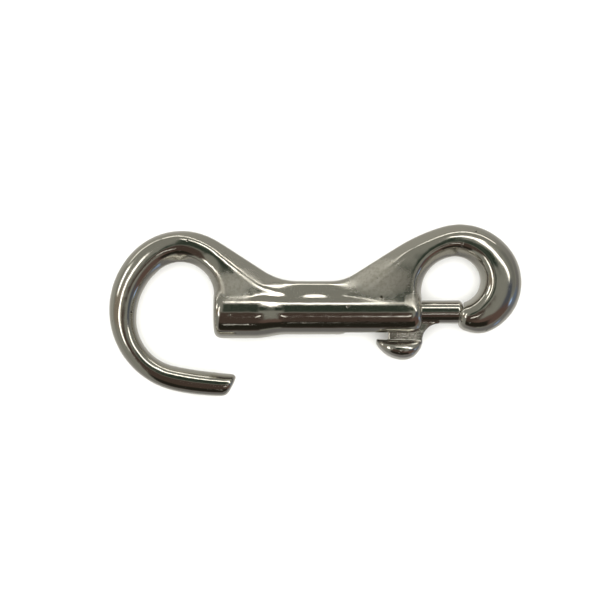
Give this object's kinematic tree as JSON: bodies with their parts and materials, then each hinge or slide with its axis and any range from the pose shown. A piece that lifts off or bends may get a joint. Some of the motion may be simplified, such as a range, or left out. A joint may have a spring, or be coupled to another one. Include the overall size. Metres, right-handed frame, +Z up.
{
  "type": "bolt snap hook",
  "caption": "Open-eye bolt snap: a nickel-plated casting with an open eye, a bored barrel and a hook that a sprung bolt closes.",
  "frame": {"origin": "centre of the part's plan outline, on the surface that it lies on", "axes": "+X along the bolt towards the hook, +Y square to it towards the bows of eye and hook, +Z up, square to the casting's parting plane"},
  "size_m": [0.0862, 0.036, 0.011],
  "materials": {
    "nickel_casting": "bright nickel plate over a tumbled casting",
    "nickel_bolt": "bright nickel plate",
    "spring_wire": "drawn wire"
  },
  "bodies": {
    "body": {"body": "nickel_casting", "spring": "spring_wire"},
    "bolt": {"bolt": "nickel_bolt"}
  },
  "joints": [
    {"name": "bolt_slide", "type": "slide", "parent": "body", "child": "bolt", "axis": [-1, 0, 0], "range_m": [0, 0.0085], "stiffness_N_per_m": 1000, "springref_m": -0.002, "deforming": ["spring"]}
  ]
}
